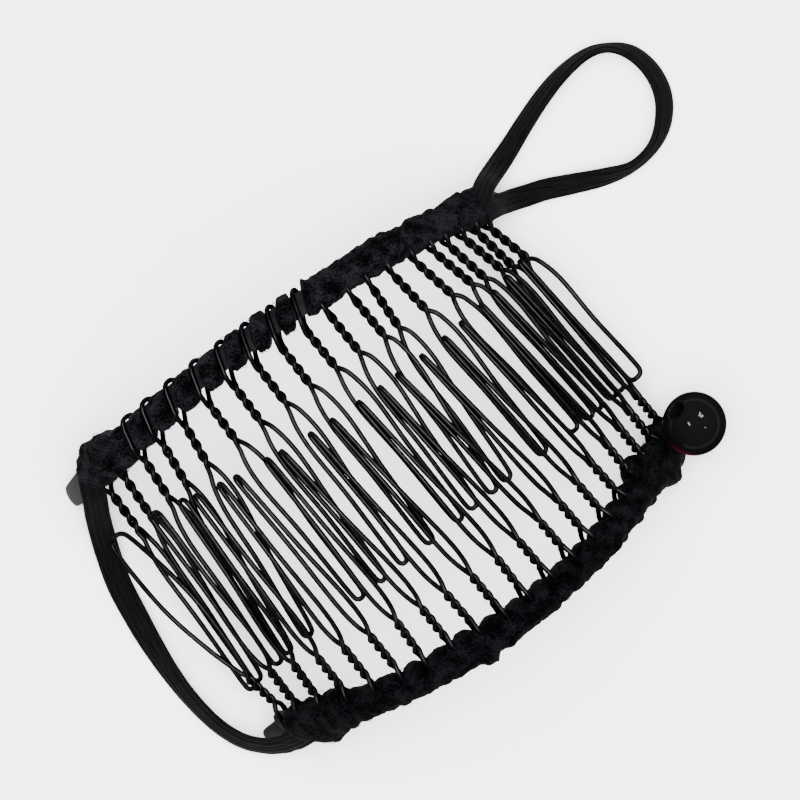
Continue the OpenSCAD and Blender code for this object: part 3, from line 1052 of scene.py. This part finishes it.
@dataclass
class YarnWrap:
    """Yarn wound round a strip in bundles, with loose fibres standing off it."""

    title: str
    arch: CombArch
    bundles: list[Bundle]
    seed: int
    notches: list[float] = field(default_factory=list)
    notched: tuple[float, float] = (0.1, 0.3)
    knobs: list[tuple[float, float, float]] = field(default_factory=list)
    under: tuple[float, float] | None = None
    depth: float = 2.0
    fuzz: int = 60
    finish: WoundYarn = field(default_factory=WoundYarn)

    def sleeve(self, bm: BMesh, bundle: Bundle) -> None:
        """Adds one bundle, a ring spun round the arch and worked into turns of yarn.

        Args:
            bm: The wrap.
            bundle: The bundle's sizes.
        """
        length = radians(bundle.stop - bundle.start) * self.arch.radius
        steps = max(12, round(length / 0.2))
        turn = Matrix.Rotation(radians(bundle.start), 4, "Y")
        upright = Matrix(((0, 0, 1, 0), (0, 1, 0, 0), (1, 0, 0, self.arch.radius), (0, 0, 0, 1)))
        ring = bmesh.ops.create_circle(bm, segments=64, radius=1.0, matrix=turn @ upright)["verts"]
        spun(bm, [*ring, *edges_of(ring)], bundle.stop - bundle.start, steps)
        for v in joined_to(ring):
            v.co = self.worked(bundle, v.co)
        cap(bm)

    def worked(self, bundle: Bundle, at: Vector) -> Vector:
        """Works a point of the plain ring into turns of yarn.

        Args:
            bundle: The bundle's sizes.
            at: The point, in the arch's own space.

        Returns:
            Where the point goes.
        """
        angle = degrees(atan2(at.x, at.z))
        out = hypot(at.x, at.z) - self.arch.radius
        round_at = atan2(at.y, out)
        t = min(1.0, max(0.0, (angle - bundle.start) / (bundle.stop - bundle.start)))
        c, s = cos(round_at), sin(round_at)
        flat_c, flat_s = copysign(abs(c) ** 0.78, c), copysign(abs(s) ** 0.78, s)
        barrel = max(0.05, 1 - abs(2 * t - 1) ** bundle.closed_ends) ** (1 / bundle.closed_ends)
        here = Vector((angle * MM_PER_DEGREE, s * 2.7, c * bundle.deep))
        drift = 0.35 * lumps(here, 3.0, self.seed + 2)
        groove = abs(sin(pi * (t * bundle.turns + 0.16 * s + drift))) ** 0.6
        fold = 1 - (0.06 * (1 - groove) if bundle.turns > 1 else 0.0)
        lobes = 2.2 * abs(lumps(here, 2.2, self.seed)) - 0.4
        broad = lumps(here, 4.0, self.seed + 7)
        swell = (1 + bundle.lumpy * (lobes + 0.5 * broad)) * fold * barrel
        loop, twist = lumps(here, 0.42, self.seed + 5), lumps(here, 0.22, self.seed + 9)
        grain = bundle.rough * (loop + 0.6 * twist)
        side = eased(bundle.outer if s > 0 else bundle.inner, t)
        for middle, half, proud in self.knobs:
            if s * proud > 0:
                side += abs(proud) * exp(-((angle - middle) / half) ** 4)
        notch = 0.0
        for eye in self.notches:
            notch = max(notch, exp(-((angle - eye) * MM_PER_DEGREE / 0.75) ** 2))
        notch *= min(1.0, max(0.0, (-0.15 - s) / 0.45))
        high = (bundle.deep * flat_c * swell) * (1 - self.notched[1] * notch) + grain * c
        wide = (side * flat_s * swell) * (1 - self.notched[0] * notch) + grain * s
        first, last = bundle.slants
        slant = last + (first - last) * (1 - t) ** bundle.fade
        along = slant * (wide + NECK_FROM) * min(1.0, 0.2 + 0.8 * abs(2 * t - 1) + (first == last))
        along += bundle.reach * (max(0.0, -c) * t ** 6 - max(0.0, c) * (1 - t) ** 6)
        return self.arch.local(angle, along, wide, high)

    def back_yarn(self, bm: BMesh) -> None:
        """Adds the yarn that passes under the teeth from one bundle to the next.

        Args:
            bm: The wrap.
        """
        if self.under is None:
            return
        start, stop = self.under
        h, w = 0.24, 1.05
        low = -(self.depth - 0.34)
        flat = w * 0.6
        corners = ((-w, 0), (-flat, -h), (flat, -h), (w, 0), (flat, h), (-flat, h))
        spun_section(bm, [self.arch.local(start, 0, y, z + low) for y, z in corners], stop - start, 120)
        cap(bm)

    def mesh(self) -> Mesh:
        """Draws the wrap.

        Returns:
            Its mesh in metres.
        """
        bm = bmesh.new()
        for bundle in self.bundles:
            self.sleeve(bm, bundle)
        self.back_yarn(bm)
        return mesh_from(bm, self.title, self.arch.stand)

    def fibres(self) -> Mesh:
        """Draws the loose fibres.

        Returns:
            Their mesh in metres.
        """
        chance = random.Random(self.seed)
        runs = []
        for _ in range(self.fuzz):
            bundle = chance.choice(self.bundles)
            angle = chance.uniform(bundle.start + 0.6, bundle.stop - 0.6)
            turn = chance.uniform(-2.2, 2.2)
            size = chance.uniform(0.4, 1.1)
            bend = chance.uniform(-1.2, 1.2)
            t = (angle - bundle.start) / (bundle.stop - bundle.start)
            run = []
            for i in range(5):
                step = i / 4
                away = 0.97 + 0.14 * size * sin(pi * step * 0.8)
                here = turn + bend * step * 0.3
                side = eased(bundle.outer if sin(here) > 0 else bundle.inner, t)
                across, out = side * away * sin(here), bundle.deep * away * cos(here)
                run.append(self.arch.at(angle + step * size * 1.2, 0, across, out))
            runs.append(run)
        return wire_mesh(self.title + " fibres", runs, 0.035, closed=False, sides=0)

    def build(self) -> None:
        """Builds the yarn in place of its CAD node."""
        name = self.title.replace("_", "-")
        add_piece(name + "-yarn", self.mesh(), self.finish, [self.title])
        add_piece(name + "-fuzz", self.fibres(), self.finish)


SLOT_HALF = degrees(asin(1.0 / ARCH_R))
# Half widths toward and away from the teeth of the bundles between the open eyes
OPEN_WIDTHS = [
    (3.4, 1.85), (3.1, 1.85), (2.95, 1.85), (2.9, 1.95), (2.8, 2.0), (2.6, 2.25), (2.6, 2.35), (2.6, 2.4),
]


def open_bundles(comb: Comb, first: int, last: int) -> list[Bundle]:
    """Makes the short bundles between the upper comb's open eyes.

    Args:
        comb: The comb.
        first: The tooth before the first bundle.
        last: The tooth after the last bundle.

    Returns:
        The bundles.
    """
    made = []
    for k in range(first, last):
        inner, outer = OPEN_WIDTHS[k - first]
        start, stop = comb.eye_angle(k) + SLOT_HALF, comb.eye_angle(k + 1) - SLOT_HALF
        made.append(Bundle(
            start, stop, (inner, inner), (outer, outer), 2.0,
            slants=(comb.slant(k), comb.slant(k + 1)), reach=0.4, closed_ends=6.0, lumpy=0.06,
        ))
    return made


def yarn() -> list[YarnWrap]:
    """Winds the yarn on the two combs.

    Returns:
        Every wrap and knot.
    """
    up = [UPPER_COMB.eye_angle(k) for k in range(TEETH)]
    low = [LOWER_COMB.eye_angle(k) for k in range(TEETH)]
    covered = Bundle(
        up[9] + SLOT_HALF, 60.6,
        (2.5, 2.35, 2.25, 2.2, 2.2, 2.2, 2.15, 2.15, 2.1, 2.2, 2.4, 2.6, 2.7),
        (2.6, 2.4, 2.45, 2.45, 2.7, 2.65, 2.25, 2.25, 2.3, 2.25, 2.9, 2.95, 3.1),
        2.05, turns=17, slants=(OPEN_SLANT, 0.0), closed_ends=16.0, fade=14.0, lumpy=0.15, rough=0.11,
    )
    upper = YarnWrap("upper_wrap", UPPER, [*open_bundles(UPPER_COMB, 1, 9), covered], 3, notches=up[10:],
                     notched=(0.03, 0.12), under=(up[1] + 2.2, 60.0), fuzz=120)
    # The lower comb's wrap and knots wear a darker copy of the same yarn finish.
    deep = WoundYarn("deep black wound yarn", (0.0, 0.0, 0.0001), (0.0027, 0.0027, 0.0035))
    lower = YarnWrap("lower_wrap", LOWER, [Bundle(
        low[16] + 0.5, low[3] - 0.4,
        (3.2, 2.65, 2.6, 2.55, 2.5, 2.45, 2.4, 2.45, 2.8, 2.5, 2.4, 2.4, 2.4),
        (1.75, 1.75, 1.95, 2.1, 2.2, 2.25, 2.35, 2.35, 2.25, 2.4, 2.3, 2.4, 2.6),
        2.05, turns=26, closed_ends=30.0)], 11, notches=low[4:16], notched=(0.2, 0.3),
        knobs=[(4.9, 1.8, 1.15)], fuzz=130, finish=deep)
    left = YarnWrap("upper_left_knot", UPPER, [Bundle(
        -55.6, up[1] + 1.9, (3.0, 3.0, 2.9, 3.1, 3.3, 3.5), (2.3, 2.8, 3.3, 3.2, 3.1, 2.8), 2.6, turns=3,
        slants=(0.0, OPEN_SLANT), closed_ends=6.0, fade=0.3)], 17, fuzz=40)
    low_left = YarnWrap("lower_left_knot", LOWER, [Bundle(
        low[3] - 0.5, low[0] - SLOT_HALF, (2.7, 3.1, 3.2, 2.8, 2.4, 2.4, 2.4, 2.1),
        (2.6, 3.1, 3.4, 4.2, 4.3, 3.7, 3.2, 3.1), 2.3, turns=5, closed_ends=8.0)], 23,
        notches=low[1:3], fuzz=50, finish=deep)
    low_right = YarnWrap("lower_right_knot", LOWER, [Bundle(
        low[19] - 1.2, low[16] + 0.9, (2.4, 3.2, 3.6, 3.6, 3.4, 3.3, 3.4, 3.9, 4.4, 4.8, 4.5, 3.8),
        (2.6, 3.0, 3.2, 3.4, 3.5, 3.9, 3.6, 2.9, 2.2, 1.9, 1.8, 1.8), 2.15, turns=6, closed_ends=8.0)],
        29, notches=low[17:19], fuzz=50, finish=deep)
    return [upper, lower, left, low_left, low_right]


# Elastic


@dataclass
class ElasticBand:
    """Flat ribbed elastic laid along a route of x, y, z and turn."""

    title: str
    route: list[tuple[float, float, float, float]]
    hidden: tuple[list, list] = ((), ())
    wide: float = 3.1
    thick: float = 1.0
    ribs: int = 5
    cuts: int = 9
    uv_step: float = 0.19
    finish: BraidedElastic = field(default_factory=BraidedElastic)

    def rows(self) -> list[tuple[Vector, float]]:
        """Runs a smooth line through the route.

        Returns:
            The band's middle line, with its turn at each place.
        """
        route = [*self.hidden[0], *self.route, *self.hidden[1]]
        count = len(route) - 1
        fine = []
        for i in range(count):
            p = [route[max(0, min(count, j))] for j in (i - 1, i, i + 1, i + 2)]
            for step in range(self.cuts):
                t = step / self.cuts
                row = [0.5 * (2 * b + (c - a) * t + (2 * a - 5 * b + 4 * c - d) * t * t
                              + (3 * b - a - 3 * c + d) * t ** 3) for a, b, c, d in zip(*p)]
                fine.append((Vector(row[:3]), row[3]))
        last = route[-1]
        return [*fine, (Vector(last[:3]), last[3])]

    def outline(self) -> list[tuple[float, float]]:
        """Draws the ribbed section.

        Returns:
            Its points, from one edge round to it again.
        """
        half, top = self.wide / 2, []
        cuts = 5
        rib = self.wide / self.ribs
        for i in range(self.ribs):
            for j in range(cuts):
                a = pi * j / cuts
                x = -half + rib * (i + 0.5 - 0.5 * cos(a))
                edge = 0.62 if i in (0, self.ribs - 1) else 1.0
                top.append((x, self.thick / 2 * edge * (0.7 + 0.3 * sin(a))))
        top = [(-half, 0.0), *top[1:], (half, 0.0)]
        return [*top, *[(x, -y) for x, y in reversed(top[1:-1])]]

    def mesh(self) -> Mesh:
        """Draws the band, a sheet of stations rolled up along the route.

        Returns:
            Its mesh in metres.
        """
        rows, outline = self.rows(), self.outline()
        n, m = len(rows), len(outline)
        bm = bmesh.new()
        uv = bm.loops.layers.uv.new("UVMap")
        bmesh.ops.create_grid(bm, x_segments=n - 1, y_segments=m, size=1.0, calc_uvs=False)
        run = [0.0]
        for (a, _), (b, _) in zip(rows, rows[1:]):
            run.append(run[-1] + (b - a).length)
        bm.verts.index_update()
        frames = []
        for i, (at, turn) in enumerate(rows):
            way = (rows[min(n - 1, i + 1)][0] - rows[max(0, i - 1)][0]).normalized()
            across = way.cross(Vector((0, 0, 1))).normalized()
            up = across.cross(way)
            c, s = cos(radians(turn)), sin(radians(turn))
            frames.append((at, across * c + up * s, up * c - across * s))
        places = {}
        for v in bm.verts:
            i, j = v.index % n, v.index // n
            at, across, up = frames[i]
            x, y = outline[j % m]
            places[v.index] = (run[i], j * self.uv_step)
            v.co = at + across * x + up * y
        for face in bm.faces:
            for loop in face.loops:
                loop[uv].uv = places[loop.vert.index]
        bmesh.ops.remove_doubles(bm, verts=bm.verts, dist=WELD_MM)
        cap(bm)
        return mesh_from(bm, self.title)

    def build(self) -> None:
        """Builds the band, a cord that goes back into the clip, in place of its CAD node."""
        name = self.title.replace("_", "-") + "-band"
        piece = add_piece(name, self.mesh(), self.finish, [self.title])


LOOP = ElasticBand("elastic_loop", [
    (33.9, 24.5, 7.3, 12), (35.2, 25.1, 4.8, 12), (36.9, 25.8, 2.5, 16), (39.4, 26.9, 1.3, 30),
    (43, 28.6, 1.4, 40), (47, 30.3, 1.6, 46), (51, 31.5, 1.8, 55), (55, 31.9, 1.9, 66), (58, 31, 2, 71),
    (60.3, 28.7, 1.8, 54), (61.3, 25.2, 1.6, 45), (60.8, 21.5, 1.5, 42), (58.8, 18.4, 1.6, 48),
    (55.8, 16.3, 1.8, 65), (52, 15.6, 1.8, 68), (48, 16.5, 1.5, 46), (44, 18, 1.3, 30),
    (40.4, 19.4, 1.1, 16), (37.8, 20.1, 1.2, 8), (36, 20.6, 2.3, 0), (34.7, 20.9, 4.3, 0),
    (33.8, 21.1, 6.2, 0),
], ([(30.9, 22.6, 9.4, 12), (32.5, 23.6, 8.9, 12)], [(32.9, 21.2, 8.0, 0), (31.6, 21.3, 9.6, 0)]), wide=3.1)
LINK = ElasticBand("elastic_link", [
    (-34.2, 17.4, 8.2, 0), (-35.1, 15.4, 6, 0), (-36, 12.9, 3.2, 0), (-36.9, 9.9, 1.2, 0),
    (-37.8, 6, 0.7, 0), (-38.2, 2, 0.9, -10), (-38.5, -3, 1.3, -32), (-38.5, -8, 1.6, -48),
    (-38.1, -12.6, 1.8, -56), (-37.1, -17.3, 2, -60), (-35.4, -21, 2.6, -60), (-33.1, -23.4, 3.6, -58),
    (-31.1, -24.5, 4.8, -50), (-30, -24.8, 5.6, -44),
], ([(-32.2, 21.8, 10.2, 0), (-32.7, 20.8, 10.4, 0), (-33.4, 19.4, 9.9, 0)],
    [(-28.8, -25.0, 6.6, -36), (-27.2, -25.0, 7.6, -30), (-25.6, -24.8, 8.4, -26)]), wide=3.5)


# Bead


@dataclass
class Bead:
    """The polished bead that the loop hooks over, with its cord."""

    at: tuple[float, float, float] = (39.9, -18.4, 9.4)
    bore_way: tuple[float, float, float] = (-1.2, 3.0, 2.8)
    size: float = 8.8
    bore: float = 2.4
    cord: float = 1.3
    finish: PolishedBead = field(default_factory=PolishedBead)
    cord_finish: WoundYarn = field(default_factory=WoundYarn)

    @property
    def way(self) -> Vector:
        """The bore's direction."""
        return Vector(self.bore_way).normalized()

    def mesh(self) -> Mesh:
        """Draws the bead, its outline spun about its bore.

        Returns:
            Its mesh in metres.
        """
        bm = bmesh.new()
        r, bore = self.size / 2, self.bore / 2
        lip, lip_cuts, cuts = 0.22, 4, 48
        edge = asin((bore + lip) / r)
        outline = [(r * sin(a), r * cos(a)) for a in
                   [edge + (pi - 2 * edge) * i / cuts for i in range(cuts + 1)]]
        high = outline[0][1] - 0.02
        rim = [(bore + lip * (1 - sin(a)), high - lip * (1 - cos(a))) for a in
               [pi / 2 * i / lip_cuts for i in range(1, lip_cuts + 1)]]
        section = [*reversed(rim), *outline, *[(x, -z) for x, z in rim]]
        verts = [bm.verts.new((x, 0, z)) for x, z in section]
        loop = [bm.edges.new((a, b)) for a, b in zip(verts, [*verts[1:], verts[0]])]
        spun(bm, [*verts, *loop], 360.0, 96, axis=(0, 0, 1), use_merge=True)
        stand = Matrix.Translation(self.at) @ self.way.to_track_quat("Z", "Y").to_matrix().to_4x4()
        return mesh_from(bm, "bead", stand)

    def cord_mesh(self) -> Mesh:
        """Draws the cord that ties the bead to the comb.

        Returns:
            Its mesh in metres.
        """
        centre, way = Vector(self.at), self.way
        line = through([
            Vector((37.2, -20.6, 1.9)), Vector((39.2, -21.0, 1.9)), centre - way * (self.size / 2 + 0.3),
            centre - way * self.size * 0.3, centre + way * self.size * 0.3,
        ], 0.4)
        twisted = []
        strand_r, lay_r = 0.34, 0.32
        for phase in (0, 120, 240):
            run = []
            for i, p in enumerate(line):
                ahead = (line[min(len(line) - 1, i + 1)] - line[max(0, i - 1)]).normalized()
                side = ahead.cross(Vector((0, 1, 0.3))).normalized()
                a = radians(phase + i * 30)
                run.append(p + (side * cos(a) + ahead.cross(side) * sin(a)) * lay_r)
            twisted.append(run)
        return wire_mesh("bead cord", twisted, strand_r, closed=False, sides=2)

    def build(self) -> Object:
        """Builds the bead and its cord in place of their CAD nodes.

        Returns:
            The bead.
        """
        add_piece("bead-cord-twist", self.cord_mesh(), self.cord_finish, ["bead_cord"])
        return add_piece("bead-glass", self.mesh(), self.finish, ["bead"])


# Studio


@dataclass
class Studio:
    """The pale floor, the soft lights and the camera over the clip."""

    middle: tuple[float, float] = (0.00463, 0.00768)
    view_width: float = 0.1087
    mid_height: float = 0.015
    turn: float = -33.0
    lens: float = 1000.0
    sensor: float = 36.0
    softbox_watts: float = 68.0
    overhead_watts: float = 22.0
    sky_strength: float = 0.5
    spark_distance: float = 1.1
    overhead: Object | None = None
    glints: list[Object] = field(default_factory=list)

    def floor(self) -> None:
        """Lays the floor."""
        bm = bmesh.new()
        bmesh.ops.create_grid(bm, x_segments=2, y_segments=2, size=2.5)
        bmesh.ops.translate(bm, verts=bm.verts, vec=(0, 0, -0.00003))
        mesh = bpy.data.meshes.new("floor")
        bm.to_mesh(mesh)
        bm.free()
        mesh.materials.append(PaleFloor().material())
        into_scene("floor", mesh)

    def lamp(self, name: str, at: Vector, size: float, watts: float, seen: bool = True) -> Object:
        """Hangs a soft light that faces the clip.

        Args:
            name: The light's name.
            at: Its place.
            size: The side of its square.
            watts: Its power.
            seen: Whether polished surfaces mirror it.

        Returns:
            The light.
        """
        light = bpy.data.lights.new(name, "AREA")
        light.shape = "SQUARE"
        light.size = size
        light.energy = watts
        lamp = into_scene(name, light)
        lamp.location = at
        lamp.rotation_euler = (-Vector(at)).to_track_quat("-Z", "Y").to_euler()
        lamp.visible_camera = False
        lamp.visible_glossy = seen
        return lamp

    def toward(self, right: float, up: float, distance: float) -> Vector:
        """Returns a place over the clip, at angles toward the picture's right and top."""
        way = Vector((tan(radians(right)), tan(radians(up)), 1.0)).normalized()
        return Matrix.Rotation(radians(self.turn), 3, "Z") @ way * distance

    def sparks(self) -> None:
        """Hangs the small lamps that glint in the bead."""
        group = ((20.0, 30.0), (26.0, 34.0), (27.0, 26.0), (33.0, 31.0), (25.0, 40.0))
        pair = ((-20.0, 3.0), (-17.0, -3.0))
        low = ((40.0, -16.0),)
        for name, places, size, watts in (("spark", group, 0.09, 6.0), ("side spark", pair, 0.09, 6.0),
                                          ("low spark", low, 0.06, 2.5)):
            for i, (right, up) in enumerate(places):
                at = self.toward(right, up, self.spark_distance)
                self.glints.append(self.lamp(f"{name} {i + 1}", at, size, watts))

    def camera(self) -> None:
        """Hangs the camera straight over the clip."""
        data = bpy.data.cameras.new("camera")
        data.lens = self.lens
        data.sensor_width = self.sensor
        data.clip_end = 20.0
        camera = into_scene("camera", data)
        distance = self.view_width * self.lens / self.sensor
        camera.location = (*self.middle, self.mid_height + distance)
        camera.rotation_euler = (0.0, 0.0, radians(self.turn))
        bpy.context.scene.camera = camera

    def sky(self) -> None:
        """Lights the room faintly from all round."""
        world = bpy.data.worlds.new("room")
        world.use_nodes = True
        back = world.node_tree.nodes["Background"]
        back.inputs["Color"].default_value = (1, 1, 1, 1)
        back.inputs["Strength"].default_value = self.sky_strength
        bpy.context.scene.world = world

    def build(self) -> None:
        """Sets up the studio."""
        self.camera()
        self.floor()
        self.sky()
        self.lamp("softbox", Vector((0.0, 0.0, 1.0)), 1.6, self.softbox_watts, seen=False)
        self.overhead = self.lamp("overhead", Vector((0.0, 0.0, 1.2)), 0.55, self.overhead_watts)
        self.sparks()

    def flag(self, piece: Object) -> None:
        """Keeps the overhead lamp off a polished piece, and the glints' lamps on it alone.

        Args:
            piece: The polished piece.
        """
        kept_off = bpy.data.collections.new("kept off the overhead lamp")
        kept_off.objects.link(piece)
        kept_off.collection_objects[0].light_linking.link_state = "EXCLUDE"
        self.overhead.light_linking.receiver_collection = kept_off
        kept_on = bpy.data.collections.new("lit by the glints' lamps")
        kept_on.objects.link(piece)
        for lamp in self.glints:
            lamp.light_linking.receiver_collection = kept_on


def main() -> None:
    """Builds the clip and the studio round it."""
    logging.basicConfig(level=logging.INFO, format="%(name)s: %(message)s")
    studio = Studio()
    studio.build()
    LOOP.build()
    LINK.build()
    FlatStrip("upper_strip", UPPER, (-67.4, 68.0)).build()
    FlatStrip("lower_strip", LOWER, (-65.0, 55.9), (Vector((-2.8, 0.9)), Vector((2.1, 2.9))), 60.2).build()
    for wrap in yarn():
        wrap.build()
    UPPER_COMB.build()
    LOWER_COMB.build()
    studio.flag(Bead().build())


if __name__ == "__main__":
    main()
